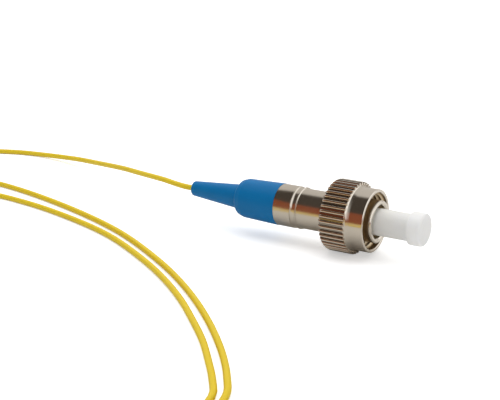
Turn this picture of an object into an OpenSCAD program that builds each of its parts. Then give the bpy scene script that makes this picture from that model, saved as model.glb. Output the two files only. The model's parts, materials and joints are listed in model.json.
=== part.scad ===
// Threaded (FC pattern) single fibre connector on a 0.9 mm class buffered fibre.
// The connector lies along X with its nose towards +X and +Z up. Its origin is the
// middle of the bottom of its box, on the surface that it lies on, without the cord.
// Every piece is turned about the connector's axis, so each module draws its piece
// along its own X axis, measured from the rear face of the coupling nut, and
// on_axis() puts it in place.

/* [Coupling nut] */
// Diameter over the ridges of the grip
nut_d = 10.2; // [9.8:0.1:12]
// Length of the nut
nut_len = 6.6; // [6:0.1:9]
// Length of the ridged grip
grip_len = 4.0; // [3:0.1:5]
// Number of ridges round the grip
ridge_count = 42; // [24:1:60]
// Depth of the grooves between the ridges
groove_depth = 0.32; // [0.1:0.01:0.4]
// Radius that rounds the rear edge of the grip
grip_round = 0.8; // [0.3:0.05:1.2]
// Diameter of the plain front collar
collar_d = 8.86; // [8.5:0.02:9.6]
// Minor diameter of the internal thread
thread_minor_d = 7.2; // [7.1:0.01:7.3]
// Major diameter of the internal thread, which the mouth opens out to
thread_major_d = 8; // [7.9:0.01:8.1]
// Thickness of the nut's rear wall
nut_wall = 0.9; // [0.6:0.05:1.2]

/* [Retaining ring] */
// Thickness of the split ring that keeps the nut on the connector
ring_thick = 0.6; // [0.4:0.05:0.8]
// Depth that the ring reaches into the nut beyond the thread
ring_seat = 0.5; // [0.3:0.05:0.55]
// Angle of the ring's gap
ring_gap = 40; // [20:1:80]

/* [Plug sleeve] */
// Diameter of the nose that enters an adapter
nose_d = 6.0; // [5.9:0.01:6.1]
// How far the nose stands out of the nut's mouth
nose_proud = 0.65; // [0.2:0.05:1.5]
// Diameter of the open bore in the nose
nose_bore_d = 4.7; // [4.3:0.05:5]
// Depth of the open bore in the nose
nose_bore_depth = 3.0; // [2:0.1:3.5]
// Diameter of the flange that stops the retaining ring
flange_d = 6.9; // [6.5:0.05:7]
// Thickness of that flange
flange_thick = 0.7; // [0.4:0.05:1]
// Thickness of the web that the ferrule holder seats on
web_thick = 0.75; // [0.5:0.05:1]
// Width of the alignment key
key_w = 2.1; // [1.9:0.01:2.2]
// Height of the key above the nose
key_h = 0.5; // [0.3:0.05:0.55]
// Distance from the front of the nose back to the key
key_setback = 2.35; // [2.2:0.05:2.8]

/* [Rear body] */
// Diameter of the smooth body that the nut slides back over
body_d = 5.76; // [5.6:0.02:5.9]
// Length of smooth body behind the nut
body_behind = 4.4; // [3:0.1:6]
// Length of the land that stops the nut
land_len = 0.85; // [0.5:0.05:1.5]
// Height of the land above the smooth body
land_h = 0.15; // [0.12:0.01:0.3]
// Diameter of the spring chamber
chamber_d = 4.5; // [4.3:0.05:4.6]
// Diameter of the spigot that joins the plug sleeve to the rear body
spigot_d = 5.14; // [5.05:0.01:5.25]
// Length of that spigot
spigot_len = 2.0; // [1:0.1:3]
// Thickness of the rear wall that the spring bears on
rear_wall = 0.65; // [0.4:0.05:0.8]

/* [Rear collar] */
// Diameter of the turned collar in front of the boot
rear_collar_d = 6.04; // [5.9:0.01:6.2]
// Length of the collar with its groove
rear_collar_len = 2.85; // [2:0.05:4]
// Width of the groove at the front of the collar
collar_groove_w = 0.5; // [0.3:0.05:0.8]
// Depth of that groove
collar_groove_depth = 0.28; // [0.1:0.01:0.4]
// Diameter of the post that carries the boot
post_d = 4.2; // [3.6:0.05:4.4]
// Length of the post
post_len = 4.9; // [3:0.1:5.5]
// Height of the barbs on the post
barb_h = 0.15; // [0.05:0.01:0.25]
// Diameter of the bore through the post
post_bore_d = 2.3; // [2.1:0.05:2.5]

/* [Boot] */
// Diameter of the boot at the collar
boot_d = 6.1; // [5.8:0.02:6.4]
// Diameter of the boot at its shoulder
shoulder_d = 5.7; // [5.4:0.02:6]
// Length of the boot's cup
cup_len = 7.6; // [6.9:0.1:9]
// Radius that rounds the boot's shoulder
shoulder_round = 1.15; // [0.7:0.05:1.3]
// Length of the boot's tapered tail
tail_len = 7.7; // [5:0.1:15]
// Diameter of the tail where it leaves the cup
tail_d = 3.6; // [3.2:0.05:3.8]
// Diameter of the tail at its tip
tip_d = 2.2; // [1.8:0.05:2.6]

/* [Ferrule] */
// Diameter of the ceramic ferrule
ferrule_d = 2.5; // [2.49:0.001:2.5]
// Length of the ferrule
ferrule_len = 10.5; // [9.5:0.1:12]
// How far the ferrule stands out of the nose
ferrule_proud = 4.35; // [3.5:0.05:5]
// Diameter of the hole for the glass
capillary_d = 0.126; // [0.125:0.001:0.13]
// Diameter of the holder's disc
holder_d = 4.3; // [4:0.05:4.35]
// Thickness of the holder's disc
holder_thick = 0.9; // [0.6:0.05:1.2]
// Diameter of the hub behind the disc
hub_d = 3.2; // [3:0.05:3.3]
// Wall of the hub behind the ferrule
hub_wall = 0.53; // [0.4:0.05:0.8]
// Diameter of the holder's tail tube
tail_tube_d = 1.9; // [1.6:0.05:2]
// Length of the tail tube
tail_tube_len = 5.2; // [4:0.1:6]

/* [Spring] */
// Outside diameter of the spring
spring_d = 4.2; // [4.1:0.02:4.3]
// Diameter of the spring's wire
wire_d = 0.4; // [0.3:0.01:0.42]
// Number of turns
spring_turns = 6.5; // [5:0.5:9]

/* [Dust cap] */
// Diameter of the cap's tube
cap_tube_d = 3.8; // [3.5:0.05:4.2]
// Diameter of the cap's head
cap_head_d = 4.64; // [4.4:0.02:6]
// Length of the cap's head
cap_head_len = 2.2; // [1.5:0.1:4]
// How far the cap's head stands off the nose
cap_reach = 4.75; // [4.6:0.05:6]
// How far the cap's tube reaches into the nose
cap_depth = 1.9; // [1:0.05:1.95]

/* [Fibre] */
// Diameter of the buffered fibre
fibre_d = 0.85; // [0.8:0.01:0.95]
// Diameter of the coated fibre inside
coating_d = 0.25; // [0.24:0.01:0.26]
// Diameter of the bare glass
glass_d = 0.124; // [0.12:0.001:0.125]
// Mean diameter of the stored coil
coil_mean_d = 14; // [12:0.5:20]
// Turns side by side in the stored coil
coil_columns = 3; // [2:1:4]
// Turns on top of each other in the stored coil
coil_rows = 3; // [2:1:4]

/* [Clearances] */
// Radial running clearance between pieces that slide or turn
running = 0.1; // [0.05:0.01:0.12]
// Radial clearance of the cap on the ferrule
cap_clear = 0.03; // [0.02:0.005:0.06]
// End clearance between faces that move apart
face_clear = 0.03; // [0.01:0.01:0.06]
// Clearance between pieces that are pressed or bonded together
seat_clear = 0.01; // [0.005:0.005:0.02]

/* [Hidden] */

round_fn = 96;
slit = 0.01;
ridge_tip = 0.06;

// Places along the axis, from the rear face of the nut
groove_back = nut_wall;
ring_back = groove_back + face_clear;
ring_front = ring_back + ring_thick;
groove_front = ring_front + face_clear;
flange_back = ring_front + face_clear;
flange_front = flange_back + flange_thick;
nose_front = nut_len + nose_proud;
nose_floor = nose_front - nose_bore_depth;
web_back = nose_floor - web_thick;
key_front = nose_front - key_setback;
spigot_back = flange_back - spigot_len;
land_front = -body_behind;
land_back = land_front - land_len;
spring_seat = land_back + rear_wall;
collar_back = land_back - rear_collar_len;
post_back = collar_back - post_len;
cup_back = collar_back - cup_len;
boot_back = cup_back - tail_len;
ferrule_front = nose_front + ferrule_proud;
ferrule_back = ferrule_front - ferrule_len;
holder_front = web_back - face_clear;
disc_back = holder_front - holder_thick;
hub_back = ferrule_back - hub_wall;
tail_tube_back = hub_back - tail_tube_len;
buffer_front = ferrule_back - 0.23;
coating_front = ferrule_back + 0.4;
cap_back = nose_front - cap_depth;
cap_head_back = nose_front + cap_reach;
cap_front = cap_head_back + cap_head_len;
cap_floor = ferrule_front + 0.4;

// Radii that follow from the driving sizes
nut_rear_bore_d = body_d + 2 * running;
ring_groove_d = thread_minor_d + 2 * ring_seat + 0.1;
ring_d = ring_groove_d - 2 * running;
ring_bore_d = body_d + 2 * running;
land_d = body_d + 2 * land_h;
buffer_bore_d = fibre_d + 0.15;
web_bore_d = ferrule_d + 0.3;
wall_bore_d = tail_tube_d + 4 * running;
collar_spigot_d = post_bore_d + 2 * 0.9;
collar_spigot_len = rear_collar_len - collar_groove_w - 0.35;
lug_w = 0.6;
lug_h = 0.3;
lug_len = 0.6;
guide_tube_d = post_bore_d - 2 * seat_clear;
root_d = nut_d - 2 * groove_depth;

// The connector rests on the near edges of two neighbouring ridges
axis_z = nut_d / 2 * cos((0.5 - ridge_tip) * 360 / ridge_count);
mid_x = (boot_back + cap_front) / 2;

// The route of the fibre on the table, in the connector's own frame: out of the boot,
// down to the table, twice round a long loop, and into the stored coil. Each point is
// [x, y, height of its centre line], and the first lies at the boot's tip.
exit_x = boot_back - mid_x;
lie = fibre_d / 2;
ROUTE = [
    [exit_x, 0, axis_z], [exit_x - 1.5, 0, axis_z], [-22.6, 0.7, 5], [-25.5, 1.8, 4.9],
    [-28.1, 2.8, 4.7], [-32.5, 4.8, 4.2], [-37.4, 7.2, 3.6], [-42.5, 9.7, 2.8],
    [-47.7, 12.1, 2], [-52.5, 13.9, 1.4], [-58, 15.2, 0.8], [-63, 15.4, 0.5],
    [-67, 14.8, lie], [-72, 12.8, lie], [-80, 8.5, lie], [-88, 1.5, lie],
    [-93.5, -8, lie], [-96, -20, lie], [-95.5, -34, lie], [-91, -48.5, lie],
    [-81, -61, lie], [-66, -69.5, lie], [-48, -74, lie], [-28, -76, lie],
    [-8, -76, lie], [6, -73, lie], [15, -66, lie], [18, -57, lie], [16.8, -47.2, lie],
    [14.6, -43.4, lie], [11.6, -39.4, lie], [8.1, -35.4, lie], [4, -31.2, lie],
    [-0.8, -26.8, lie], [-6.4, -22.3, lie], [-13.1, -17.7, lie], [-24, -11.5, lie],
    [-35.2, -7.1, lie], [-48.6, -3.4, lie], [-58, -2, lie], [-69, -2.5, lie],
    [-80, -7, lie], [-87, -16, lie], [-89, -28, lie], [-86, -42, lie],
    [-78, -54.5, lie], [-66, -63, lie], [-50, -68, lie], [-30, -70.5, lie],
    [-10, -70.5, lie], [3, -68, lie], [12, -62.5, lie], [16, -55, lie],
    [15.6, -48, lie], [13.5, -44.6, lie], [10.4, -40.7, lie], [6.9, -36.6, lie],
    [2.7, -32.4, lie], [-2, -28, lie], [-7.6, -23.5, lie], [-14.3, -19, lie],
    [-24.6, -13.4, lie], [-34.5, -10, lie], [-45.7, -7.6, lie], [-55, -7.2, lie],
    [-64, -10, lie], [-71, -17, lie], [-74.3, -26.5, lie], [-74.9, -36.5, lie]];

// The stored coil stands where the route ends
coil_x = -66;
coil_y = -37;
coil_w = coil_columns * fibre_d;
coil_h = coil_rows * fibre_d;
tie_t = 0.25;
tie_w = 2.2;

// Unit vector of v
function unit(v) = v / norm(v);

// Direction of the route at point i
function heading(path, i) =
    unit(path[min(i + 1, len(path) - 1)] - path[max(i - 1, 0)]);

// Points of one ring of n sides and radius r round point p, square to direction t
function ring_points(p, t, r, n) =
    let (side = unit(cross([0, 0, 1], t)), up = cross(t, side))
    [for (k = [0:n - 1]) p + r * (cos((k + 0.5) * 360 / n) * side
        + sin((k + 0.5) * 360 / n) * up)];

// A tube of n sides swept along a path that is never upright
module swept_tube(path, r, n) {
    rings = [for (i = [0:len(path) - 1]) ring_points(path[i], heading(path, i), r, n)];
    last = len(path) - 1;
    sides = [for (i = [0:last - 1]) for (k = [0:n - 1])
        [i * n + k, i * n + (k + 1) % n, (i + 1) * n + (k + 1) % n, (i + 1) * n + k]];
    ends = [[for (k = [n - 1:-1:0]) k], [for (k = [0:n - 1]) last * n + k]];
    polyhedron([for (ring = rings) for (q = ring) q], concat(sides, ends));
}

// Draws a piece that was made along X about the connector's axis in its place
module on_axis() {
    translate([-mid_x, 0, axis_z]) children();
}

// A solid of revolution about X, from a list of [x, radius]
module turned(profile, fn = round_fn) {
    rotate([0, 90, 0]) rotate_extrude($fn = fn)
        polygon([for (p = profile) [p[1], p[0]]]);
}

// A round bore or plug about X, from x0 to x1
module rod(x0, x1, d, fn = round_fn) {
    translate([x0, 0, 0]) rotate([0, 90, 0]) cylinder(h = x1 - x0, d = d, $fn = fn);
}

// Points of a quarter circle about [x, r], from angle a0 to a1
function arc(x, r, radius, a0, a1, steps = 6) =
    [for (k = [0:steps]) let (a = a0 + (a1 - a0) * k / steps)
        [x + radius * cos(a), r + radius * sin(a)]];

// Soft cap over the ferrule: a tube with a larger closed head
module dust_cap() {
    edge = 0.45;
    color([0.91, 0.91, 0.89]) on_axis() difference() {
        turned(concat(
            [[cap_back, 0], [cap_back, cap_tube_d / 2 - 0.15],
                [cap_back + 0.15, cap_tube_d / 2], [cap_head_back - 0.1, cap_tube_d / 2]],
            arc(cap_head_back + 0.2, cap_head_d / 2 - 0.2, 0.2, 180, 90, 3),
            arc(cap_front - edge - 0.15, cap_head_d / 2 - edge, edge, 90, 20),
            [[cap_front - 0.02, cap_head_d / 4], [cap_front, 0]]));
        rod(cap_back - 1, cap_floor, ferrule_d + 2 * cap_clear);
        turned([[cap_back - 1, 0], [cap_back - 1, ferrule_d / 2 + 1.4],
            [cap_back + 0.2, ferrule_d / 2 + cap_clear], [cap_back + 0.2, 0]]);
    }
}

// Zirconia ferrule with its tapered nose, fine hole and rear funnel
module ferrule() {
    nose_r = 0.65;
    taper = 0.55;
    color([0.95, 0.95, 0.93]) on_axis() difference() {
        turned([[ferrule_back, 0], [ferrule_back, ferrule_d / 2 - 0.1],
            [ferrule_back + 0.1, ferrule_d / 2], [ferrule_front - taper, ferrule_d / 2],
            [ferrule_front - 0.02, nose_r], [ferrule_front, 0]]);
        rod(ferrule_back - 1, ferrule_front + 1, capillary_d, 24);
        turned([[ferrule_back - 1, 0], [ferrule_back - 1, 0.75],
            [ferrule_back, 0.5], [coating_front, coating_d / 2 + seat_clear],
            [coating_front + 0.3, capillary_d / 2], [coating_front + 0.3, 0]], 48);
    }
}

// Flanged metal holder that the ferrule is pressed into, with its tail tube
module ferrule_holder() {
    notch_w = lug_w + running;
    notch_r = chamber_d / 2 - lug_h - running;
    color([0.80, 0.74, 0.58]) on_axis() difference() {
        turned([[tail_tube_back, 0], [tail_tube_back, tail_tube_d / 2],
            [hub_back, tail_tube_d / 2], [hub_back + 0.2, hub_d / 2],
            [disc_back, hub_d / 2], [disc_back, holder_d / 2],
            [holder_front - 0.15, holder_d / 2], [holder_front, holder_d / 2 - 0.15],
            [holder_front, 0]]);
        rod(tail_tube_back - 1, holder_front + 1, buffer_bore_d, 48);
        rod(ferrule_back - seat_clear, holder_front + 1, ferrule_d + 2 * seat_clear);
        for (a = [0:90:270]) rotate([a, 0, 0])
            translate([disc_back - 1, -notch_w / 2, notch_r])
                cube([holder_thick + 2, notch_w, 1]);
    }
}

// Bare glass in the ferrule
module glass_fibre() {
    color([0.85, 0.93, 1.0]) on_axis() rod(coating_front, ferrule_front, glass_d, 24);
}

// Coated fibre between the buffer and the glass
module fibre_coating() {
    color([0.75, 0.88, 0.70]) on_axis() rod(buffer_front, coating_front, coating_d, 24);
}

// The stretch of buffered fibre inside the connector, up to the boot's tip
module fibre_buffer() {
    color([0.93, 0.80, 0.15]) on_axis() rod(boot_back, buffer_front, fibre_d, 32);
}

// Liner that guides the buffered fibre through the post
module guide_tube() {
    color([0.96, 0.96, 0.96]) on_axis() difference() {
        rod(post_back, tail_tube_back - 1.4, guide_tube_d, 48);
        rod(post_back - 1, tail_tube_back, buffer_bore_d, 48);
    }
}

// Compression spring that pushes the ferrule forward
module spring() {
    per_turn = 14;
    sides = 8;
    mean_r = (spring_d - wire_d) / 2;
    x0 = spring_seat + wire_d / 2 + seat_clear;
    x1 = disc_back - wire_d / 2 - seat_clear;
    steps = round(spring_turns * per_turn);
    // The first and last turns lie almost flat and close on their neighbours
    function rise(t) = let (e = 1 / spring_turns, flat = 1.05 * wire_d / (x1 - x0))
        t < e ? t / e * flat : t > 1 - e ? 1 - (1 - t) / e * flat
            : flat + (t - e) / (1 - 2 * e) * (1 - 2 * flat);
    path = [for (i = [0:steps]) let (t = i / steps, a = 360 * spring_turns * t)
        [mean_r * cos(a), mean_r * sin(a), x0 + (x1 - x0) * rise(t)]];
    function wire_ring(i) = let (t = heading(path, i), out = unit([path[i][0], path[i][1], 0]),
        side = unit(cross(t, out)), top = cross(side, t))
        [for (k = [0:sides - 1]) path[i] + wire_d / 2 * (cos(k * 360 / sides) * side
            + sin(k * 360 / sides) * top)];
    faces = concat(
        [for (i = [0:steps - 1]) for (k = [0:sides - 1])
            [i * sides + k, i * sides + (k + 1) % sides,
                (i + 1) * sides + (k + 1) % sides, (i + 1) * sides + k]],
        [[for (k = [sides - 1:-1:0]) k], [for (k = [0:sides - 1]) steps * sides + k]]);
    color([0.70, 0.71, 0.73]) on_axis() rotate([0, 90, 0])
        polyhedron([for (i = [0:steps]) for (q = wire_ring(i)) q], faces);
}

// Plug sleeve: the keyed nose, the stop flange and the spigot, in one turned piece,
// with two lugs inside that keep the ferrule holder from turning
module plug_sleeve() {
    lip = 0.18;
    band_d = nose_d + 0.24;
    color([0.78, 0.75, 0.70]) on_axis() union() {
        sleeve_shell(lip, band_d);
        for (a = [0, 180]) rotate([a, 0, 0])
            translate([web_back - lug_len, -lug_w / 2, chamber_d / 2 - lug_h])
                cube([lug_len + slit, lug_w, lug_h + 0.1]);
    }
}

// Turned part of the plug sleeve with its key and bores
module sleeve_shell(lip, band_d) {
    difference() {
        union() {
            turned([[spigot_back, 0], [spigot_back, spigot_d / 2 - 0.1],
                [spigot_back + 0.1, spigot_d / 2], [flange_back, spigot_d / 2],
                [flange_back, flange_d / 2], [flange_front, flange_d / 2],
                [flange_front, band_d / 2], [flange_front + 1.1, band_d / 2],
                [flange_front + 1.22, nose_d / 2], [nose_front - lip, nose_d / 2],
                [nose_front - lip / 3, nose_d / 2 - lip / 3],
                [nose_front, nose_d / 2 - lip], [nose_front, 0]]);
            intersection() {
                translate([flange_front - 0.1, -key_w / 2, 0])
                    cube([key_front - flange_front + 0.1, key_w, nose_d]);
                rod(flange_front - 0.2, key_front, nose_d + 2 * key_h);
            }
        }
        rod(nose_floor, nose_front + 1, nose_bore_d);
        turned([[nose_front - lip, 0], [nose_front - lip, nose_bore_d / 2],
            [nose_front + 0.1, nose_bore_d / 2 + lip + 0.1], [nose_front + 0.1, 0]]);
        rod(web_back - 1, nose_floor + 1, web_bore_d);
        rod(spigot_back - 1, web_back, chamber_d);
    }
}

// Coupling nut: ridged grip, plain collar, threaded mouth and a groove for the ring
module coupling_nut() {
    mouth = 0.3;
    fillet = 0.35;
    grip_profile = concat([[0, 0], [0, nut_d / 2 - grip_round]],
        arc(grip_round, nut_d / 2 - grip_round, grip_round, 180, 90),
        arc(grip_len - fillet, nut_d / 2 - fillet, fillet, 90, 45, 3),
        [[grip_len + 0.1, collar_d / 2 + 0.12], [grip_len + 0.3, collar_d / 2],
            [nut_len - 0.1, collar_d / 2], [nut_len, collar_d / 2 - 0.1], [nut_len, 0]]);
    // One ridge takes half of its pitch at the tip and slopes into the groove
    pitch = 360 / ridge_count;
    star = [for (i = [0:ridge_count - 1]) each
        [for (s = [[-0.5, root_d], [-0.3, root_d], [-0.17, nut_d - 0.1], [-ridge_tip, nut_d],
                [ridge_tip, nut_d], [0.17, nut_d - 0.1], [0.3, root_d]])
            let (a = (i + 0.5 + s[0]) * pitch) s[1] / 2 * [cos(a), sin(a)]]];
    color([0.80, 0.76, 0.70]) on_axis() difference() {
        intersection() {
            turned(grip_profile);
            union() {
                rotate([0, 90, 0]) linear_extrude(grip_len + 0.05) polygon(star);
                turned([[grip_len - 0.35, 0], [grip_len - 0.35, root_d / 2 - 0.05],
                    [grip_len + 0.3, collar_d / 2], [nut_len + 1, collar_d / 2],
                    [nut_len + 1, 0]]);
            }
        }
        rod(-1, groove_back + slit, nut_rear_bore_d);
        rod(groove_back, groove_front, ring_groove_d);
        rod(groove_front - slit, nut_len + 1, thread_minor_d);
        turned([[nut_len - mouth - (thread_major_d - thread_minor_d) / 2, 0],
            [nut_len - mouth - (thread_major_d - thread_minor_d) / 2, thread_minor_d / 2],
            [nut_len - mouth, thread_major_d / 2], [nut_len + 0.1, thread_major_d / 2 + 0.1],
            [nut_len + 0.1, 0]]);
    }
}

// Split ring that runs in the nut's groove and stops on the plug sleeve's flange
module retaining_ring() {
    gap_w = ring_d * sin(ring_gap / 2);
    color([0.62, 0.62, 0.64]) on_axis() difference() {
        rod(ring_back, ring_front, ring_d);
        rod(ring_back - 1, ring_front + 1, ring_bore_d);
        translate([ring_back - 1, 0, -gap_w / 2]) cube([ring_thick + 2, ring_d, gap_w]);
    }
}

// Rear body: smooth barrel round the spring, the land and the spigot for the collar
module rear_body() {
    color([0.76, 0.73, 0.68]) on_axis() difference() {
        turned([[land_back - collar_spigot_len, 0],
            [land_back - collar_spigot_len, collar_spigot_d / 2],
            [land_back, collar_spigot_d / 2], [land_back, land_d / 2 - 0.06],
            [land_back + 0.06, land_d / 2], [land_front - 0.12, land_d / 2],
            [land_front, body_d / 2], [flange_back, body_d / 2], [flange_back, 0]]);
        rod(spigot_back, flange_back + 1, spigot_d + 2 * seat_clear);
        rod(spring_seat, spigot_back + 1, chamber_d);
        rod(land_back - collar_spigot_len - 1, spring_seat + 1, wall_bore_d);
    }
}

// Rear collar: turned ring with its groove, and the barbed post inside the boot
module rear_collar() {
    groove_back_x = land_back - collar_groove_w;
    groove_r = rear_collar_d / 2 - collar_groove_depth;
    barb_step = post_len / 3;
    barbs = [for (i = [1, 2]) each let (x = collar_back - i * barb_step)
        [[x - 0.8, post_d / 2], [x, post_d / 2 + barb_h], [x, post_d / 2]]];
    color([0.78, 0.75, 0.69]) on_axis() difference() {
        turned(concat([[post_back, 0], [post_back, post_d / 2 - 0.3],
                [post_back + 0.3, post_d / 2]],
            [for (i = [1:-1:0]) each [for (k = [0:2]) barbs[i * 3 + k]]],
            [[collar_back, post_d / 2], [collar_back, rear_collar_d / 2 - 0.04],
                [collar_back + 0.04, rear_collar_d / 2],
                [groove_back_x - 0.05, rear_collar_d / 2], [groove_back_x, groove_r + 0.12],
                [groove_back_x + 0.15, groove_r], [land_back, groove_r], [land_back, 0]]));
        rod(land_back - collar_spigot_len - seat_clear, land_back + 1,
            collar_spigot_d + 2 * seat_clear);
        rod(post_back - 1, land_back, post_bore_d);
    }
}

// Boot: a cup over the collar's post and a tapered tail that supports the fibre
module boot() {
    tip_round = 0.3;
    blend = 0.35;
    color([0.05, 0.40, 0.70]) on_axis() difference() {
        turned(concat([[boot_back, 0], [boot_back, tip_d / 2 - tip_round]],
            arc(boot_back + tip_round, tip_d / 2 - tip_round, tip_round, 180, 95),
            [[cup_back - blend, tail_d / 2]],
            arc(cup_back - blend, tail_d / 2 + blend, blend, 280, 350, 4),
            arc(cup_back + shoulder_round, shoulder_d / 2 - shoulder_round,
                shoulder_round, 165, 92),
            [[collar_back - 0.05, boot_d / 2], [collar_back, boot_d / 2 - 0.05],
                [collar_back, 0]]));
        turned([[post_back - 0.6, 0], [post_back - 0.6, buffer_bore_d / 2],
            [post_back - 0.1, post_d / 2 + seat_clear - 0.3],
            [post_back + 0.2, post_d / 2 + barb_h + seat_clear],
            [collar_back + 1, post_d / 2 + barb_h + seat_clear], [collar_back + 1, 0]]);
        rod(boot_back - 1, post_back, buffer_bore_d, 48);
    }
}

// The fibre that lies free, from the boot's tip to the stored coil
module fibre_run() {
    color([0.93, 0.82, 0.18]) swept_tube(ROUTE, fibre_d / 2, 8);
}

// Outer form of the stored coil
module fibre_coil() {
    color([0.92, 0.79, 0.16]) translate([coil_x, coil_y, 0])
        rotate_extrude($fn = 64) translate([coil_mean_d / 2 - coil_w / 2, 0])
            square([coil_w, coil_h]);
}

// Section of a tie, as an arch over the coil's turns
module tie_arch(grow) {
    translate([coil_mean_d / 2 - coil_w / 2 - seat_clear - grow, 0])
        square([coil_w + 2 * (seat_clear + grow), coil_h + seat_clear + grow]);
}

// A tape tie over the coil's turns at angle a
module coil_tie(a) {
    color([0.95, 0.95, 0.95]) translate([coil_x, coil_y, 0]) rotate([0, 0, a])
        intersection() {
            rotate_extrude($fn = 64) difference() {
                tie_arch(tie_t);
                translate([0, -slit]) tie_arch(0);
            }
            translate([0, -tie_w / 2, -1]) cube([coil_mean_d, tie_w, coil_h + 2]);
        }
}

// Tie on the side of the coil that faces the connector
module coil_tie_inner() {
    coil_tie(20);
}

// Tie on the far side of the coil
module coil_tie_outer() {
    coil_tie(250);
}

dust_cap();
ferrule();
ferrule_holder();
glass_fibre();
fibre_coating();
fibre_buffer();
guide_tube();
spring();
plug_sleeve();
coupling_nut();
retaining_ring();
rear_body();
rear_collar();
boot();
fibre_run();
fibre_coil();
coil_tie_inner();
coil_tie_outer();
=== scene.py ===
# %% [markdown]
# # A threaded fibre connector on its yellow fibre
# The object is one small plug, 38 mm long with its dust cap: a coupling nut with a ridged
# grip, a keyed nose, a ceramic ferrule under a milky cap, a smooth nickel body, a blue boot
# and a yellow buffered fibre that runs out of the boot and lies in long loose loops.
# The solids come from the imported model. They already sit in one shared frame, in metres,
# with the plug's axis along X. Here they get their finish, and the pieces whose real form
# needs more than a plain solid are made again in the same places.

# %% Load the solids as a fixed frame
import json
import math

import bmesh
import bpy
import numpy as np
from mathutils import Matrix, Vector

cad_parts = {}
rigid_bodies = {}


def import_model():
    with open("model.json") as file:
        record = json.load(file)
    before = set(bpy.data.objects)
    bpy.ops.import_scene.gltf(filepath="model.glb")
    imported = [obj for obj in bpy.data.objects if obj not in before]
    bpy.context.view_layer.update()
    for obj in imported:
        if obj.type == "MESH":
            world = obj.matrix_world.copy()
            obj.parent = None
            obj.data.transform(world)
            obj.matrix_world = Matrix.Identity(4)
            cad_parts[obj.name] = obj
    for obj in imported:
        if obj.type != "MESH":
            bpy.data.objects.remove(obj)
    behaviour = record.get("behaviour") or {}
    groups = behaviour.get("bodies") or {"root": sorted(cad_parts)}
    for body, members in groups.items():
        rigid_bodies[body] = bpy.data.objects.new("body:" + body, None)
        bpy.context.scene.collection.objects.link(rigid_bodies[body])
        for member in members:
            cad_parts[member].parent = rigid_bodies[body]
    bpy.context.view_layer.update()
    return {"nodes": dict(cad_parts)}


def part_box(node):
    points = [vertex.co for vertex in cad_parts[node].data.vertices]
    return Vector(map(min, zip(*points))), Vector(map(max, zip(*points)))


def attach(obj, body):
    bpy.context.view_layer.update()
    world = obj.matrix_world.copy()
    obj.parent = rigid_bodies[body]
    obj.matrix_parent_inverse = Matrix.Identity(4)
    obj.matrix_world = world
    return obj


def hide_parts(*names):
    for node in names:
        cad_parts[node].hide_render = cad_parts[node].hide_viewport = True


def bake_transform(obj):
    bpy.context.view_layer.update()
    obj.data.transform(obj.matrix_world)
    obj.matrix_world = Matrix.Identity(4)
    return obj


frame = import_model()
nodes = frame["nodes"]
MM = 0.001

# %% [markdown]
# ## The places that everything is measured from
# A turned connector has one axis, and all of its pieces share it. The height of that axis
# comes from the rear body's box, which is round and complete, and the nut's rear face gives
# the zero of the lengths along the axis, as it does on the maker's drawing.

# %% The axis and the nut's rear face
body_low, body_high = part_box("rear_body")
axis_height = (body_low.z + body_high.z) / 2
nut_low, nut_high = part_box("coupling_nut")
nut_back = nut_low.x
nut_length = nut_high.x - nut_low.x
print("axis at", round(axis_height / MM, 3), "mm; nut from", round(nut_back / MM, 3), "mm")


def along(x_mm):
    """Place on the axis, in metres, of a length in mm from the nut's rear face."""
    return nut_back + x_mm * MM


# %% [markdown]
# ## The camera
# The plug is seen from its nose side, a little from above, through a long lens close to it.
# A long lens keeps the circles of the nut nearly round and the barrel nearly parallel. The
# camera comes first, because how far the fibre may spread is measured against its view.

# %% A long lens, a hand's width and a half away
camera = bpy.data.objects.new("camera", bpy.data.cameras.new("camera"))
bpy.context.scene.collection.objects.link(camera)
camera.data.lens = 84.24
camera.data.sensor_width = 36
camera.data.clip_start, camera.data.clip_end = 0.001, 10
camera.location = (0.0759, -0.1391, 0.0562)
aim = Vector((-0.0086, -0.0007, 0.00509))
camera.rotation_mode = "QUATERNION"
camera.rotation_quaternion = (aim - camera.location).to_track_quat("-Z", "Y")
bpy.context.scene.camera = camera
print("camera to plug:", round((aim - camera.location).length / MM), "mm")

# %% [markdown]
# ## The route of the fibre
# A buffered fibre is a springy plastic thread of just under a millimetre. It leaves the boot
# straight, comes down to the table in a long low arc, and lies in wide loops, because it
# would break in a tight bend. One metre of it is the usual length of such a pigtail. What is
# not laid out in the two loops is stored in a small tied coil.
# The points are the same as the solid's. A smooth curve is put through them with the
# centripetal Catmull-Rom rule, which never overshoots or loops between uneven points.

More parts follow.
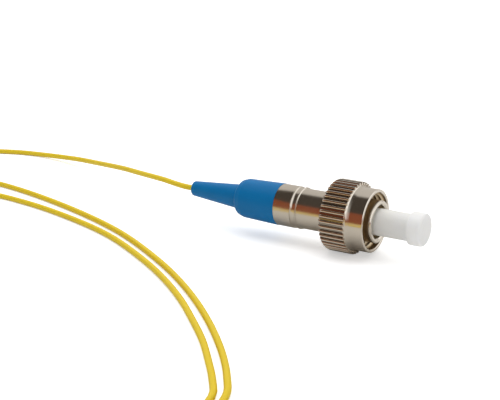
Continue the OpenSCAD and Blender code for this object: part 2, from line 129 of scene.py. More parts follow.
# %% Points of the free run, in millimetres
LIE = 0.425
LAID = [
    (-18.8, 0, 5.089), (-20.3, 0, 5.089), (-22.6, 0.7, 5), (-25.5, 1.8, 4.9),
    (-28.1, 2.8, 4.7), (-32.5, 4.8, 4.2), (-37.4, 7.2, 3.6), (-42.5, 9.7, 2.8),
    (-47.7, 12.1, 2), (-52.5, 13.9, 1.4), (-58, 15.2, 0.8), (-63, 15.4, 0.5),
]  # fmt: skip
TABLE = [
    (-67, 14.8), (-72, 12.8), (-80, 8.5), (-88, 1.5), (-93.5, -8), (-96, -20),
    (-95.5, -34), (-91, -48.5), (-81, -61), (-66, -69.5), (-48, -74), (-28, -76),
    (-8, -76), (6, -73), (15, -66), (18, -57), (16.8, -47.2), (14.6, -43.4),
    (11.6, -39.4), (8.1, -35.4), (4, -31.2), (-0.8, -26.8), (-6.4, -22.3),
    (-13.1, -17.7), (-24, -11.5), (-35.2, -7.1), (-48.6, -3.4), (-58, -2),
    (-69, -2.5), (-80, -7), (-87, -16), (-89, -28), (-86, -42), (-78, -54.5),
    (-66, -63), (-50, -68), (-30, -70.5), (-10, -70.5), (3, -68), (12, -62.5),
    (16, -55), (15.6, -48), (13.5, -44.6), (10.4, -40.7), (6.9, -36.6), (2.7, -32.4),
    (-2, -28), (-7.6, -23.5), (-14.3, -19), (-24.6, -13.4), (-34.5, -10),
    (-45.7, -7.6), (-55, -7.2), (-64, -10), (-71, -17), (-74.3, -26.5),
    (-74.9, -36.5),
]  # fmt: skip
route = [Vector(p) * MM for p in LAID] + [Vector((x, y, LIE)) * MM for x, y in TABLE]


def smooth_line(points, step):
    """Points every step along the centripetal Catmull-Rom curve through the given ones."""
    padded = [points[0] * 2 - points[1], *points, points[-1] * 2 - points[-2]]
    line = [points[0].copy()]
    for a, b, c, d in zip(padded, padded[1:], padded[2:], padded[3:]):
        t1 = (b - a).length ** 0.5
        t2 = t1 + (c - b).length ** 0.5
        t3 = t2 + (d - c).length ** 0.5
        count = max(2, round((c - b).length / step))
        for k in range(1, count + 1):
            t = t1 + (t2 - t1) * k / count
            ab = a.lerp(b, t / t1)
            bc = b.lerp(c, (t - t1) / (t2 - t1))
            cd = c.lerp(d, (t - t2) / (t3 - t2))
            line.append(ab.lerp(bc, t / t2).lerp(bc.lerp(cd, (t - t1) / (t3 - t1)), (t - t1) / (t2 - t1)))
    return line


free_run = smooth_line(route, 1.2 * MM)
free_length = sum((b - a).length for a, b in zip(free_run, free_run[1:]))
print("laid out:", round(free_length, 3), "m in", len(free_run), "points")

# %% [markdown]
# ## The stored coil
# The rest is wound as a hand winds it: a flat spiral inwards on the table, a second layer
# outwards on top of it, and a third inwards again. Where the thread climbs to the next layer
# it stays at one radius for a third of a turn, so neighbouring turns touch but never meet.

# %% Turns of the coil, cut where the metre is used up
FIBRE_LENGTH = 1.0
FIBRE_WIDTH = 0.85
COIL_MIDDLE = Vector((-66, -37.0, 0))
OUTER, INNER, GAP = 7.87, 6.13, 0.87


def coil_turns(per_turn=40):
    """Points in mm of the coil's turns, anticlockwise from its -X side, without an end."""
    angle, radius, height = math.pi, 8.87, LIE
    inward, climb_left = True, 0.0
    while True:
        yield COIL_MIDDLE + Vector((radius * math.cos(angle), radius * math.sin(angle), height))
        angle += 2 * math.pi / per_turn
        if climb_left > 0:
            step = min(climb_left, 3 * FIBRE_WIDTH / per_turn)
            climb_left -= step
            height += step
            continue
        radius += (-GAP if inward else GAP) / per_turn
        if inward and radius < INNER or not inward and radius > OUTER:
            inward, climb_left = not inward, FIBRE_WIDTH


centre_line = [p.copy() for p in free_run]
used = free_length
for point in coil_turns():
    point = point * MM
    stretch = (point - centre_line[-1]).length
    if used + stretch >= FIBRE_LENGTH:
        centre_line.append(centre_line[-1].lerp(point, (FIBRE_LENGTH - used) / stretch))
        break
    if stretch > 0.3 * MM:
        centre_line.append(point)
        used += stretch
coil_share = FIBRE_LENGTH - free_length
print("coil holds", round(coil_share, 3), "m, about", round(coil_share / (2 * math.pi * 7 * MM), 1), "turns")

# %% The fibre as one round curve along that line
fibre_data = bpy.data.curves.new("fibre", "CURVE")
fibre_data.dimensions = "3D"
fibre_data.bevel_depth = FIBRE_WIDTH / 2 * MM
fibre_data.bevel_resolution = 5
fibre_data.use_fill_caps = True
spline = fibre_data.splines.new("POLY")
spline.points.add(len(centre_line) - 1)
for handle, point in zip(spline.points, centre_line):
    handle.co = (*point, 1)
spline.use_smooth = True
drawn = bpy.data.objects.new("fibre_line", fibre_data)
bpy.context.scene.collection.objects.link(drawn)
ready = drawn.evaluated_get(bpy.context.evaluated_depsgraph_get())
fibre_mesh = bpy.data.meshes.new_from_object(ready)
bpy.data.objects.remove(drawn)
fibre = bpy.data.objects.new("yellow_fibre", fibre_mesh)
bpy.context.scene.collection.objects.link(fibre)
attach(fibre, "connector")
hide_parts("fibre_run", "fibre_coil")
tuple(route[0])
[tuple(p) for p in centre_line]
print("fibre:", len(centre_line), "points,", len(fibre_mesh.polygons), "faces")

# %% [markdown]
# ## Shader arithmetic
# A procedural finish is a sum of small patterns. Wiring each sum by hand hides the idea, so
# a wire of the node tree is wrapped in a small class: plus, minus and times on two wires
# make the Math nodes, and one method makes any other node.

# %% A wire of a node tree that can be added and multiplied
class Wire:
    """An output socket, with arithmetic that adds Math nodes to its tree."""

    def __init__(self, tree, socket):
        self.tree, self.socket = tree, socket

    def feed(self, target):
        self.tree.links.new(self.socket, target)

    def math(self, operation, *others, clamp=False):
        node = self.tree.nodes.new("ShaderNodeMath")
        node.operation, node.use_clamp = operation, clamp
        for socket, value in zip(node.inputs, (self, *others)):
            plug(value, socket)
        return Wire(self.tree, node.outputs[0])

    def __add__(self, other):
        return self.math("ADD", other)

    def __sub__(self, other):
        return self.math("SUBTRACT", other)

    def __mul__(self, other):
        return self.math("MULTIPLY", other)

    def __truediv__(self, other):
        return self.math("DIVIDE", other)

    def rise(self, low, high):
        """0 below low, 1 above high, and a smooth rise between them. low may be the higher."""
        return self.node(
            "ShaderNodeMapRange", "Result", {"interpolation_type": "SMOOTHSTEP"},
            Value=self, From_Min=low, From_Max=high,
        )  # fmt: skip

    def node(self, kind, output, settings=None, **inputs):
        """Any other node, in this wire's tree. Input names are written with _ for a space."""
        return make(self.tree, kind, output, settings, **inputs)


def plug(value, socket):
    """Feeds a wire, or sets a constant, on a socket."""
    if isinstance(value, Wire):
        value.feed(socket)
    else:
        socket.default_value = value


def make(tree, kind, output, settings=None, **inputs):
    """One node with its settings and inputs, and the wire of the output that is named."""
    node = tree.nodes.new(kind)
    for name, value in (settings or {}).items():
        setattr(node, name, value)
    for name, value in inputs.items():
        plug(value, node.inputs[name.replace("_", " ")])
    return Wire(tree, node.outputs[output])


def blend_colours(factor, first, second):
    """A wire with first where factor is 0 and second where it is 1."""
    node = factor.tree.nodes.new("ShaderNodeMix")
    node.data_type = "RGBA"
    plug(factor, node.inputs["Factor"])
    plug(first, [s for s in node.inputs if s.name == "A" and s.type == "RGBA"][0])
    plug(second, [s for s in node.inputs if s.name == "B" and s.type == "RGBA"][0])
    return Wire(factor.tree, [s for s in node.outputs if s.type == "RGBA"][0])


def finish_named(name, **constants):
    """A new material: its tree, its shader's inputs, and a wire with Object coordinates."""
    material = bpy.data.materials.new(name)
    material.use_nodes = True
    tree = material.node_tree
    shader = tree.nodes["Principled BSDF"]
    for key, value in constants.items():
        shader.inputs[key.replace("_", " ")].default_value = value
    place = make(tree, "ShaderNodeTexCoord", "Object")
    return material, shader.inputs, place


def stretched(place, scale, shift=(0, 0, 0)):
    """Object coordinates in mm, stretched by a factor along each axis."""
    return place.node("ShaderNodeMapping", "Vector", Vector=place, Location=shift,
                      Scale=tuple(1000 * s for s in scale))


def noise(place, scale, detail=3.0, rough=0.5):
    """A smooth noise from 0 to 1 with features about 1/scale mm apart."""
    return place.node("ShaderNodeTexNoise", "Fac", Vector=place, Scale=scale,
                      Detail=detail, Roughness=rough)


def bumped(height, distance_mm, strength=1.0):
    """A normal from a height of 0 to 1 that stands for distance_mm."""
    return height.node("ShaderNodeBump", "Normal", Height=height, Strength=strength,
                       Distance=distance_mm * MM)


def round_the_axis(place):
    """Object coordinates in mm, with the zero on the connector's axis."""
    return stretched(place, (1, 1, 1), (0, 0, -axis_height * 1000))


# %% [markdown]
# ## Nickel plate
# The nut, the sleeve and the body are brass with a bright nickel plate, which is a slightly
# warm silver. A lathe leaves fine rings round the axis: they only vary along X, so a noise
# that is squeezed along X and stretched far along Y and Z draws them. The same noise makes
# the plate a little duller in some rings. Wear makes faint cloudy spots where fingers go.

# %% Bright nickel for the nut and the sleeve, and turned nickel for the body
def length_and_radius(place):
    """Wires with a point's place along the axis and its distance from it, both in mm."""
    parts = place.tree.nodes.new("ShaderNodeSeparateXYZ")
    round_the_axis(place).feed(parts.inputs[0])
    x, y, z = (Wire(place.tree, s) for s in parts.outputs)
    return x, (y * y + z * z).math("SQRT")


def nickel(name, tone, dull, ring_depth_mm, bore_mm=0.0, mouth_mm=0.0, groove_mm=0.0):
    """Plate of that tone. Inside bore_mm from the axis and behind mouth_mm it is painted brass:
    dark brass on the wall and thread roots as painted shade, pale brass on the thread crests
    as a painted highlight. Between a grip's ridges, within groove_mm of the axis, the plate is
    darkened as painted shade."""
    material, shader, place = finish_named(name, Metallic=1.0)
    rings = noise(stretched(place, (9, 0.12, 0.12)), 1.0, 4.0, 0.7)
    clouds = noise(stretched(place, (0.35, 0.35, 0.35)), 1.0, 3.0, 0.6)
    darker = tuple(c * 0.86 for c in tone)
    plate = blend_colours(clouds * 0.6 + rings * 0.4, (*darker, 1), (*tone, 1))
    roughness = rings * 0.10 + clouds * 0.08 + dull
    if bore_mm:
        x, radius = length_and_radius(place)
        # Painted shade and highlight: deep marks what lies inside the bore and behind the mouth, which is
        # painted dark brass on the wall and thread roots and pale brass on the thread crests.
        deep = radius.rise(bore_mm + 0.04, bore_mm - 0.04) * x.rise(mouth_mm, mouth_mm - 0.15)
        crest = radius.rise(bore_mm - 0.18, bore_mm - 0.34)
        brass_shade_and_highlight = blend_colours(crest, (0.36, 0.26, 0.15, 1), (0.84, 0.73, 0.54, 1))
        plate = blend_colours(deep, plate, brass_shade_and_highlight)
        roughness = roughness + deep * 0.25
    if groove_mm:
        # Painted shade: between the grip's ridges the plate is darkened to about a third of its tone.
        groove = radius.rise(groove_mm + 0.12, groove_mm) * x.rise(along(3.95) / MM, along(3.8) / MM)
        outside = radius.rise(4.5, 4.6)
        plate = blend_colours(groove * outside, plate, tuple(c * 0.34 for c in tone) + (1,))
    plate.feed(shader["Base Color"])
    roughness.feed(shader["Roughness"])
    bumped(rings, ring_depth_mm).feed(shader["Normal"])
    return material


bright_nickel = nickel("bright nickel plate", (0.80, 0.755, 0.69), 0.06, 0.0012,
                       4.12, along(6.45) / MM, 4.75)
sleeve_nickel = nickel("sleeve nickel plate", (0.80, 0.755, 0.69), 0.08, 0.0012,
                       3.14, along(6.95) / MM)
turned_nickel = nickel("turned nickel plate", (0.78, 0.735, 0.665), 0.13, 0.004)
print("nickel:", bright_nickel.name, "and", turned_nickel.name)

# %% [markdown]
# ## Blue boot, milky cap and yellow buffer
# The boot is a satin moulded elastomer. Its skin has a very fine mould texture, and its
# deep blue varies a little from place to place. The cap is natural polyethylene, which lets light
# in and scatters it. The buffer is a tight plastic skin with a soft shine, whose colour
# varies a little along its length.

# %% The three plastics
def boot_finish():
    material, shader, place = finish_named("blue boot", IOR=1.48, Specular_IOR_Level=0.22)
    grain = noise(stretched(place, (14, 14, 14)), 1.0, 2.0, 0.6)
    flow = noise(stretched(place, (0.25, 0.6, 0.6)), 1.0, 3.0, 0.5)
    blend_colours(flow, (0.0, 0.148, 0.385, 1), (0.0, 0.178, 0.455, 1)).feed(shader["Base Color"])
    (grain * 0.10 + flow * 0.06 + 0.30).feed(shader["Roughness"])
    bumped(grain, 0.003).feed(shader["Normal"])
    return material


def cap_finish():
    material, shader, place = finish_named(
        "milky cap", IOR=1.51, Subsurface_Weight=0.7, Subsurface_Scale=0.0016,
        Subsurface_Radius=(1.0, 0.97, 0.9),
    )  # fmt: skip
    grain = noise(stretched(place, (6, 6, 6)), 1.0, 3.0, 0.6)
    flow = noise(stretched(place, (0.5, 0.9, 0.9)), 1.0, 3.0, 0.5)
    x, radius = length_and_radius(place)
    # The cap's colour changes along the axis: a darker beige towards the nut, paler further forward, and
    # lightest at its head.
    beige_towards_nut = blend_colours(x.rise(along(7.5) / MM, along(13) / MM), (0.88, 0.85, 0.78, 1), (0.93, 0.92, 0.88, 1))
    head = blend_colours(x.rise(along(11.6) / MM, along(12.2) / MM), beige_towards_nut, (0.94, 0.935, 0.91, 1))
    blend_colours(flow * 0.3, head, (0.95, 0.945, 0.92, 1)).feed(shader["Base Color"])
    (grain * 0.12 + 0.30).feed(shader["Roughness"])
    bumped(grain, 0.006).feed(shader["Normal"])
    return material


def buffer_finish():
    material, shader, place = finish_named("yellow buffer", IOR=1.5, Specular_IOR_Level=0.4)
    along_it = noise(stretched(place, (0.08, 0.08, 0.08)), 1.0, 3.0, 0.5)
    skin = noise(stretched(place, (5, 5, 5)), 1.0, 3.0, 0.6)
    blend_colours(along_it * 0.7 + skin * 0.3, (0.76, 0.53, 0.010, 1),
                  (0.86, 0.66, 0.022, 1)).feed(shader["Base Color"])
    (skin * 0.15 + 0.33).feed(shader["Roughness"])
    bumped(skin, 0.004).feed(shader["Normal"])
    return material


blue_boot, milky_cap, yellow_buffer = boot_finish(), cap_finish(), buffer_finish()
fibre_mesh.materials.append(yellow_buffer)
print("plastics:", blue_boot.name, milky_cap.name, yellow_buffer.name)

# %% [markdown]
# ## Finishes of the small inner pieces
# Most of these are out of sight until the cap comes off or the ferrule goes back: polished
# white zirconia, drawn spring wire, plated brass, the white liner and ties, and the fibre
# inside its coatings. Each still gets the grain that its own making leaves.

# %% Inner finishes from one recipe
def plain_finish(name, dark, light, rough, stretch, depth_mm, **constants):
    material, shader, place = finish_named(name, **constants)
    grain = noise(stretched(place, stretch), 1.0, 3.0, 0.6)
    blend_colours(grain, (*dark, 1), (*light, 1)).feed(shader["Base Color"])
    (grain * 0.10 + rough).feed(shader["Roughness"])
    bumped(grain, depth_mm).feed(shader["Normal"])
    return material


zirconia = plain_finish("polished zirconia", (0.84, 0.83, 0.80), (0.92, 0.91, 0.89), 0.08,
                        (2, 2, 2), 0.001, IOR=2.1)
holder_metal = plain_finish("plated holder", (0.58, 0.50, 0.36), (0.72, 0.64, 0.50), 0.20,
                            (8, 0.2, 0.2), 0.003, Metallic=1.0)
spring_wire = plain_finish("drawn spring wire", (0.46, 0.46, 0.47), (0.60, 0.60, 0.61), 0.22,
                           (5, 5, 5), 0.002, Metallic=1.0)
liner_white = plain_finish("white liner", (0.80, 0.80, 0.79), (0.90, 0.90, 0.89), 0.35,
                           (3, 3, 3), 0.003, IOR=1.45)
bare_glass = plain_finish("bare glass", (0.90, 0.95, 0.97), (0.96, 0.98, 1.0), 0.02,
                          (3, 3, 3), 0.0005, IOR=1.46, Transmission_Weight=0.9)
clear_coating = plain_finish("fibre coating", (0.55, 0.74, 0.50), (0.66, 0.82, 0.60), 0.25,
                             (4, 4, 4), 0.002, IOR=1.5, Transmission_Weight=0.3)
tape_white = plain_finish("white tape", (0.78, 0.78, 0.76), (0.90, 0.90, 0.88), 0.45,
                          (7, 1.2, 7), 0.008, IOR=1.45)

FINISHES = {
    "dust_cap": milky_cap, "ferrule": zirconia, "ferrule_holder": holder_metal,
    "glass_fibre": bare_glass, "fibre_coating": clear_coating,
    "fibre_buffer": yellow_buffer, "guide_tube": liner_white, "spring": spring_wire,
    "plug_sleeve": sleeve_nickel, "coupling_nut": bright_nickel,
    "retaining_ring": spring_wire, "rear_body": turned_nickel,
    "rear_collar": turned_nickel, "boot": blue_boot, "fibre_run": yellow_buffer,
    "fibre_coil": yellow_buffer, "coil_tie_inner": tape_white,
    "coil_tie_outer": tape_white,
}  # fmt: skip
for name, material in FINISHES.items():
    nodes[name].data.materials.clear()
    nodes[name].data.materials.append(material)
print("finishes on", len(FINISHES), "solids")

# %% [markdown]
# ## A lathe for the turned pieces
# Nearly every piece here is turned. One helper takes a closed outline as [length, radius]
# pairs, rounds each corner as a real tool and a tumbling barrel do, and turns it about the
# axis. Rounded edges matter most on plated metal, because each one catches a thin line of
# light. The outlines start from the sizes of the solids that they stand for.

# %% Outline helpers and the lathe
def rounded(outline, radius, steps=4):
    """The closed outline with each corner replaced by a short arc of that radius, in mm.
    A point may carry its own radius as a third number."""
    result = []
    for i, corner in enumerate(outline):
        reach = corner[2] if len(corner) > 2 else radius
        p = Vector(corner[:2])
        a = Vector(outline[i - 1][:2])
        b = Vector(outline[(i + 1) % len(outline)][:2])
        to_a, to_b = a - p, b - p
        turn = to_a.angle(to_b)
        cut = min(reach / max(math.tan(turn / 2), 1e-6), 0.45 * to_a.length, 0.45 * to_b.length)
        if cut < 1e-4 or turn > math.radians(175):
            result.append(p)
            continue
        start, end = p + to_a.normalized() * cut, p + to_b.normalized() * cut
        for k in range(steps + 1):
            t = k / steps
            result.append(start * (1 - t) ** 2 + p * 2 * t * (1 - t) + end * t**2)
    return result


def turn_on_lathe(name, outline, sides=128):
    """A closed ring turned about the axis from an outline in mm from the nut's rear face."""
    mesh = bpy.data.meshes.new(name)
    ring = [
        (along(x), r * MM * math.cos(a), axis_height + r * MM * math.sin(a))
        for a in (2 * math.pi * k / sides for k in range(sides))
        for x, r in outline
    ]
    n = len(outline)
    quads = [
        (k * n + i, k * n + (i + 1) % n, (k + 1) % sides * n + (i + 1) % n, (k + 1) % sides * n + i)
        for k in range(sides)
        for i in range(n)
    ]
    mesh.from_pydata(ring, [], quads)
    shape = bmesh.new()
    shape.from_mesh(mesh)
    bmesh.ops.recalc_face_normals(shape, faces=shape.faces)
    shape.to_mesh(mesh)
    shape.free()
    mesh.shade_smooth()
    piece = bpy.data.objects.new(name, mesh)
    bpy.context.scene.collection.objects.link(piece)
    return piece


print("lathe ready")

# %% [markdown]
# ## The coupling nut: body, ridges and thread
# The nut is what fingers hold. Its grip has 42 straight ridges, its front is a plain collar,
# and an M8 x 0.75 thread runs round its mouth. The plain body comes from the lathe. The
# ridges repeat by a rule, so Geometry Nodes sweep one ridge and turn copies of it round the
# axis. The thread follows a helix, so another tree sweeps a diamond along a spiral: half of
# the diamond is buried in the wall, and the other half is the thread's crest.

# %% Body of the nut, from its solid's sizes
RIDGES = 42
GRIP_RADIUS, ROOT_RADIUS, COLLAR_RADIUS = 5.1, 4.78, 4.43
nut_outline = rounded(
    [
        (0.0, 3.06), (0.0, 4.02), (0.10, 4.44), (0.36, 4.78), (3.98, 4.78, 0.1),
        (4.14, 4.60, 0.15), (4.60, 4.43, 0.2), (6.52, 4.43, 0.03), (6.60, 4.35, 0.03),
        (6.60, 4.06, 0.02), (6.50, 3.98), (1.56, 3.98), (1.56, 4.15), (0.90, 4.15),
        (0.90, 2.98), (0.08, 2.98),
    ],
    0.04,
)  # fmt: skip
nut_body = turn_on_lathe("nut_body", nut_outline, 168)
print("nut body:", len(nut_body.data.polygons), "faces")


# %% A small helper that builds Geometry Nodes trees
def grow(name, inputs, build):
    """A Geometry Nodes tree with a geometry input, named size inputs and a Material."""
    tree = bpy.data.node_groups.new(name, "GeometryNodeTree")
    face = tree.interface
    face.new_socket("Geometry", in_out="INPUT", socket_type="NodeSocketGeometry")
    for label, kind in inputs.items():
        face.new_socket(label, in_out="INPUT", socket_type=kind)
    face.new_socket("Material", in_out="INPUT", socket_type="NodeSocketMaterial")
    face.new_socket("Geometry", in_out="OUTPUT", socket_type="NodeSocketGeometry")
    start = tree.nodes.new("NodeGroupInput")
    given = {s.name: Wire(tree, s) for s in start.outputs if s.name}
    shape = build(tree, given)
    shape = make(tree, "GeometryNodeRealizeInstances", "Geometry", Geometry=shape)
    shape = make(tree, "GeometryNodeSetMaterial", "Geometry", Geometry=shape,
                 Material=given["Material"])
    end = tree.nodes.new("NodeGroupOutput")
    shape.feed(end.inputs[0])
    return tree


def grown(name, tree, base, **values):
    """Runs the tree on the base mesh and returns the result as a plain mesh object."""
    holder = bpy.data.objects.new(name + "_holder", base)
    bpy.context.scene.collection.objects.link(holder)
    modifier = holder.modifiers.new(name, "NODES")
    modifier.node_group = tree
    keys = {s.name: s.identifier for s in tree.interface.items_tree if s.in_out == "INPUT"}
    for label, value in values.items():
        modifier[keys[label.replace("_", " ")]] = value
    ready = holder.evaluated_get(bpy.context.evaluated_depsgraph_get())
    mesh = bpy.data.meshes.new_from_object(ready)
    mesh.name = name
    bpy.data.objects.remove(holder)
    piece = bpy.data.objects.new(name, mesh)
    bpy.context.scene.collection.objects.link(piece)
    return piece


# %% One ridge, swept along its own line and copied round the axis
def ridge_tree(tree, given):
    line = make(tree, "GeometryNodeMeshToCurve", "Curve", Mesh=given["Geometry"])
    to_front = make(tree, "GeometryNodeSplineParameter", "Length")
    whole = make(tree, "GeometryNodeSplineLength", "Length")
    left = (whole - to_front) / given["Half width"]
    round_end = ((left * left * -1.0 + left * 2.0).math("MAXIMUM", 0.0)).math("SQRT")
    nose = left.math("GREATER_THAN", 1.0).math("MAXIMUM", round_end)
    line = make(tree, "GeometryNodeSetCurveRadius", "Curve", Curve=line, Radius=nose)
    section = make(tree, "GeometryNodeCurvePrimitiveCircle", "Curve", Resolution=12,
                   Radius=given["Half width"])
    ridge = make(tree, "GeometryNodeCurveToMesh", "Mesh", Curve=line, Profile_Curve=section,
                 Fill_Caps=True)
    spots = make(tree, "GeometryNodePoints", "Points", Count=given["Ridges"])
    index = make(tree, "GeometryNodeInputIndex", "Index")
    angle = index / given["Ridges"] * (2 * math.pi)
    turned = make(tree, "ShaderNodeCombineXYZ", "Vector", X=angle)
    copies = make(tree, "GeometryNodeInstanceOnPoints", "Instances", Points=spots,
                  Instance=ridge, Rotation=turned)
    return make(tree, "GeometryNodeTransform", "Geometry", Geometry=copies,
                Translation=(nut_back, 0, axis_height))


HALF_RIDGE = 0.21
ridge_line = [(0.30, GRIP_RADIUS - 0.52), (0.42, GRIP_RADIUS - 0.36)]
ridge_line += [
    (0.85 - 0.45 * math.cos(a), GRIP_RADIUS - HALF_RIDGE - 0.19 * (1 - math.sin(a)))
    for a in (math.radians(d) for d in (20, 45, 70, 90))
]
ridge_line += [(x, GRIP_RADIUS - HALF_RIDGE) for x in (1.5, 2.4, 3.5, 3.86, 3.94, 4.00, 4.04, 4.07, 4.09, 4.10)]
line_mesh = bpy.data.meshes.new("ridge_line")
line_mesh.from_pydata(
    [(x * MM, 0, r * MM) for x, r in ridge_line], [(i, i + 1) for i in range(len(ridge_line) - 1)], []
)
ridges_tree = grow(
    "Ridges round a grip", {"Ridges": "NodeSocketInt", "Half width": "NodeSocketFloat"}, ridge_tree
)
nut_ridges = grown("nut_ridges", ridges_tree, line_mesh, Ridges=RIDGES, Half_width=HALF_RIDGE * MM,
                   Material=bright_nickel)
print("ridges:", RIDGES, "with", len(nut_ridges.data.polygons), "faces in all")


# %% The thread, a diamond swept along a helix
def thread_tree(tree, given):
    turns = given["Length"] / given["Pitch"]
    helix = make(tree, "GeometryNodeCurveSpiral", "Curve", Resolution=72, Rotations=turns,
                 Start_Radius=given["Radius"], End_Radius=given["Radius"], Height=given["Length"])
    helix = make(tree, "GeometryNodeSetCurveNormal", "Curve", {"mode": "Z_UP"}, Curve=helix)
    share = make(tree, "GeometryNodeSplineParameter", "Factor")
    lead_in = (share * turns * 2.5).math("MINIMUM", 1.0)
    lead_out = ((share * -1.0 + 1.0) * turns * 2.5).math("MINIMUM", 1.0)
    helix = make(tree, "GeometryNodeSetCurveRadius", "Curve", Curve=helix,
                 Radius=lead_in.math("MINIMUM", lead_out))
    diamond = make(tree, "GeometryNodeCurvePrimitiveCircle", "Curve", Resolution=4,
                   Radius=given["Depth"])
    crest = make(tree, "GeometryNodeCurveToMesh", "Mesh", Curve=helix, Profile_Curve=diamond,
                 Fill_Caps=True)
    return make(tree, "GeometryNodeTransform", "Geometry", Geometry=crest,
                Translation=(along(1.75), 0, axis_height), Rotation=(0, math.pi / 2, 0))


empty_mesh = bpy.data.meshes.new("nothing")
thread_sizes = {k: "NodeSocketFloat" for k in ("Length", "Pitch", "Radius", "Depth")}
nut_thread = grown("nut_thread", grow("Thread in a bore", thread_sizes, thread_tree), empty_mesh,
                   Length=4.4 * MM, Pitch=0.75 * MM, Radius=3.98 * MM, Depth=0.27 * MM,
                   Material=bright_nickel)
print("thread:", len(nut_thread.data.polygons), "faces")

# %% Join the nut's three meshes into one piece
nut_body.data.materials.append(bright_nickel)
whole_nut = bmesh.new()
for part in (nut_body, nut_ridges, nut_thread):
    whole_nut.from_mesh(part.data)
bmesh.ops.recalc_face_normals(whole_nut, faces=whole_nut.faces)
nut_mesh = bpy.data.meshes.new("threaded_nut")
whole_nut.to_mesh(nut_mesh)
whole_nut.free()
nut_mesh.materials.append(bright_nickel)
nut_mesh.shade_smooth()
nut_mesh.set_sharp_from_angle(angle=math.radians(38))
for part in (nut_body, nut_ridges, nut_thread):
    bpy.data.objects.remove(part)
nut = bpy.data.objects.new("threaded_nut", nut_mesh)
bpy.context.scene.collection.objects.link(nut)
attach(nut, "nut")
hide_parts("coupling_nut")
print("nut:", len(nut_mesh.polygons), "faces")

# %% [markdown]
# ## The boot
# The boot is one soft moulding: a cup that grips the post behind the collar, a rounded
# shoulder, a small crease, and a tapered tail that keeps the fibre from bending sharply. It
# is round, so the lathe turns it as well. Only its skin shows, so the outline closes through
# a narrow bore along the fibre.

# %% Turn the boot
boot_low, boot_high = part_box("boot")
BOOT_TIP, BOOT_MOUTH = ((x - nut_back) / MM for x in (boot_low.x, boot_high.x))
CUP = 7.0
boot_outline = rounded(
    [
        (BOOT_TIP, 0.52), (BOOT_TIP, 1.10, 0.32), (BOOT_MOUTH - CUP - 0.25, 1.80, 0.25),
        (BOOT_MOUTH - CUP, 2.02, 0.12), (BOOT_MOUTH - CUP + 0.32, 2.58, 0.5),
        (BOOT_MOUTH - CUP + 1.2, 2.86, 0.9), (BOOT_MOUTH, 3.05, 0.05), (BOOT_MOUTH, 2.3),
        (BOOT_MOUTH - 5.0, 2.3), (BOOT_MOUTH - 5.2, 0.52),
    ],
    0.05,
    8,
)  # fmt: skip
boot = turn_on_lathe("blue_boot", boot_outline)
boot.data.materials.append(blue_boot)
boot.data.set_sharp_from_angle(angle=math.radians(40))
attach(boot, "connector")
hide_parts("boot")
print("boot:", round(BOOT_MOUTH - BOOT_TIP, 2), "mm long")

# %% [markdown]
# ## The rear collar and the barrel
# The turned collar sits between the boot and the barrel. The groove at their joint is what
# the eye catches: the tool left a hollow whose rear side faces the light, and a narrow land
# stands in front of it. Behind the collar a plain post runs into the boot, and the barrel
# runs under the nut to the sleeve. The rims are broken by hand-size chamfers.

# %% Turn the collar with its post, and the barrel with its land
post_low, collar_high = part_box("rear_collar")
POST_BACK, LAND_BACK = ((x - nut_back) / MM for x in (post_low.x, collar_high.x))
BARREL_FRONT = (body_high.x - nut_back) / MM
COLLAR_BACK, COLLAR_R = LAND_BACK - 2.85, 3.02
LAND_R = (body_high.z - body_low.z) / 2 / MM
LAND_FRONT, BARREL_R, BARREL_BORE = LAND_BACK + 0.85, LAND_R - 0.15, 2.58
JOINT, GROOVE, GROOVE_DEPTH = LAND_BACK + 0.45, 0.62, 0.30
hollow = [
    (JOINT - GROOVE * math.cos(a), COLLAR_R - GROOVE_DEPTH * math.sin(a))
    for a in (math.radians(d) for d in (0, 18, 36, 54, 72, 90))
]
collar_outline = rounded(
    [
        (POST_BACK, 1.20), (POST_BACK, 1.75), (COLLAR_BACK, 1.75),
        (COLLAR_BACK, COLLAR_R - 0.04), (COLLAR_BACK + 0.04, COLLAR_R), *hollow,
        (JOINT, 2.3), (JOINT - 2.2, 2.3), (JOINT - 2.2, 1.20),
    ],
    0.02,
    2,
)  # fmt: skip
barrel_outline = rounded(
    [
        (JOINT + 0.01, BARREL_BORE), (JOINT + 0.01, COLLAR_R - GROOVE_DEPTH), (JOINT + 0.10, LAND_R - 0.06),
        (JOINT + 0.16, LAND_R), (LAND_FRONT - 0.10, LAND_R), (LAND_FRONT, BARREL_R),
        (BARREL_FRONT, BARREL_R), (BARREL_FRONT, BARREL_BORE),
    ],
    0.02,
    2,
)  # fmt: skip
for name, outline, node in (
    ("grooved_collar", collar_outline, "rear_collar"),
    ("plated_barrel", barrel_outline, "rear_body"),
):
    turned = turn_on_lathe(name, outline)
    turned.data.materials.append(turned_nickel)
    turned.data.set_sharp_from_angle(angle=math.radians(40))
    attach(turned, "connector")
    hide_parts(node)
print("groove from", round(JOINT - GROOVE, 2), "to", round(JOINT, 2), "mm")

# %% [markdown]
# ## Plain copies of the spring and the fibre inside
# When the ferrule is pushed back by a millimetre, the spring behind it shortens and the
# buffered fibre inside gives way with it. Here both only get a plain copy of their solid in the
# same place, and the solid itself is hidden.

# %% Copies of the two solids in their places
def held_at_both_ends(node, name):
    mesh = nodes[node].data.copy()
    mesh.transform(nodes[node].matrix_world)
    piece = bpy.data.objects.new(name, mesh)
    bpy.context.scene.collection.objects.link(piece)
    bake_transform(piece)
    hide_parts(node)


buffer_low, buffer_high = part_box("fibre_buffer")
held_at_both_ends("spring", "coil_spring")
held_at_both_ends("fibre_buffer", "inner_buffer")

# %% [markdown]
# ## The table and the light
# The plug lies on a plain white table. A large soft lamp hangs above and behind it, and a
# weaker one fills from the front. Metal shows nothing but its surroundings, so the room
# itself has to be drawn: white above and behind, dark in front where the photographer
# stands, with a warm wooden strip low down. Camera rays see plain white instead.

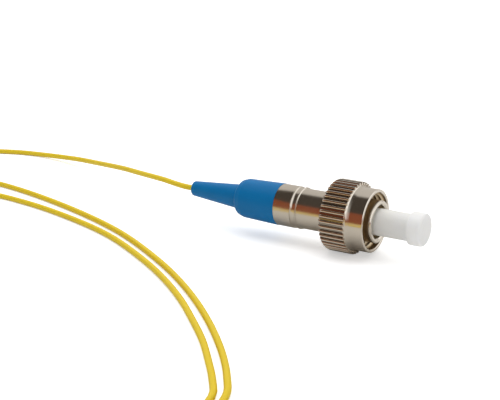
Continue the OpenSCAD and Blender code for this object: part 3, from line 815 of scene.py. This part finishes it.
# %% The table
floor_mesh = bpy.data.meshes.new("table")
floor_mesh.from_pydata([(-3, -3, 0), (3, -3, 0), (3, 3, 0), (-3, 3, 0)], [], [(0, 1, 2, 3)])
floor = bpy.data.objects.new("table", floor_mesh)
bpy.context.scene.collection.objects.link(floor)
floor_finish, floor_shader, floor_place = finish_named("white table", Roughness=0.9,
                                                       Specular_IOR_Level=0.1)
paper = noise(stretched(floor_place, (0.05, 0.05, 0.05)), 1.0, 2.0, 0.5)
white = blend_colours(paper, (0.90, 0.90, 0.90, 1), (0.93, 0.93, 0.93, 1))
spot = floor_place.tree.nodes.new("ShaderNodeSeparateXYZ")
floor_place.feed(spot.inputs[0])
forward = Wire(floor_place.tree, spot.outputs["Y"])
# Painted reflections: glossy rays see the table in bands that the metal mirrors, pale beige behind the plug,
# darker beige just in front, a golden band further forward and brown beyond. All other rays see it white.
painted_reflection_near = blend_colours(forward.rise(-0.01, 0.02), (0.60, 0.56, 0.50, 1), (0.80, 0.77, 0.72, 1))
painted_reflection_gold = blend_colours(forward.rise(-0.022, -0.034), painted_reflection_near, (0.62, 0.46, 0.21, 1))
painted_reflection_brown = blend_colours(forward.rise(-0.10, -0.20), painted_reflection_gold, (0.30, 0.085, 0.04, 1))
path = floor_place.tree.nodes.new("ShaderNodeLightPath")
looked_at = Wire(floor_place.tree, path.outputs["Is Camera Ray"])
mirrored = Wire(floor_place.tree, path.outputs["Is Glossy Ray"])
blend_colours(mirrored, white, painted_reflection_brown).feed(floor_shader["Base Color"])
blend_colours(looked_at, (0, 0, 0, 1), (0.45, 0.45, 0.45, 1)).feed(floor_shader["Emission Color"])
floor_shader["Emission Strength"].default_value = 1.0
floor_mesh.materials.append(floor_finish)


# %% Lamps
def soft_lamp(name, place, size, power, colour=(1, 1, 1)):
    lamp = bpy.data.objects.new(name, bpy.data.lights.new(name, "AREA"))
    lamp.data.shape, lamp.data.size, lamp.data.energy = "DISK", size, power
    lamp.data.color = colour
    lamp.location = place
    lamp.rotation_mode = "QUATERNION"
    lamp.rotation_quaternion = (Vector((-0.02, -0.01, 0)) - Vector(place)).to_track_quat("-Z", "Y")
    bpy.context.scene.collection.objects.link(lamp)
    return lamp


soft_lamp("overhead softbox", (-0.10, 0.12, 0.55), 0.9, 3.5).visible_glossy = False
soft_lamp("front fill", (0.35, -0.45, 0.40), 0.6, 0.3).visible_glossy = False

# %% The room
world = bpy.data.worlds.new("studio")
bpy.context.scene.world = world
world.use_nodes = True
tree = world.node_tree
tree.nodes.clear()
way = make(tree, "ShaderNodeTexCoord", "Generated")
parts = tree.nodes.new("ShaderNodeSeparateXYZ")
way.feed(parts.inputs[0])
side, depth, up = (Wire(tree, s) for s in parts.outputs)
in_front = depth.rise(0.30, 0.10)
room = blend_colours(in_front, (0.64, 0.60, 0.55, 1), (0.065, 0.052, 0.040, 1))
wood = up.rise(0.57, 0.47) * in_front
room = blend_colours(wood, room, (0.27, 0.080, 0.036, 1))
window = side.rise(0.2, 0.42) * up.rise(0.05, 0.2)
room = blend_colours(window, room, (1.15, 1.12, 1.07, 1))
ray = tree.nodes.new("ShaderNodeLightPath")
seen = Wire(tree, ray.outputs["Is Camera Ray"])
mirrored = Wire(tree, ray.outputs["Is Glossy Ray"])
ambient = blend_colours(mirrored, (0.38, 0.38, 0.38, 1), room)
shown = blend_colours(seen, ambient, (1, 1, 1, 1))
background = tree.nodes.new("ShaderNodeBackground")
shown.feed(background.inputs["Color"])
tree.links.new(background.outputs[0], tree.nodes.new("ShaderNodeOutputWorld").inputs["Surface"])

bpy.context.scene.view_settings.view_transform = "Standard"
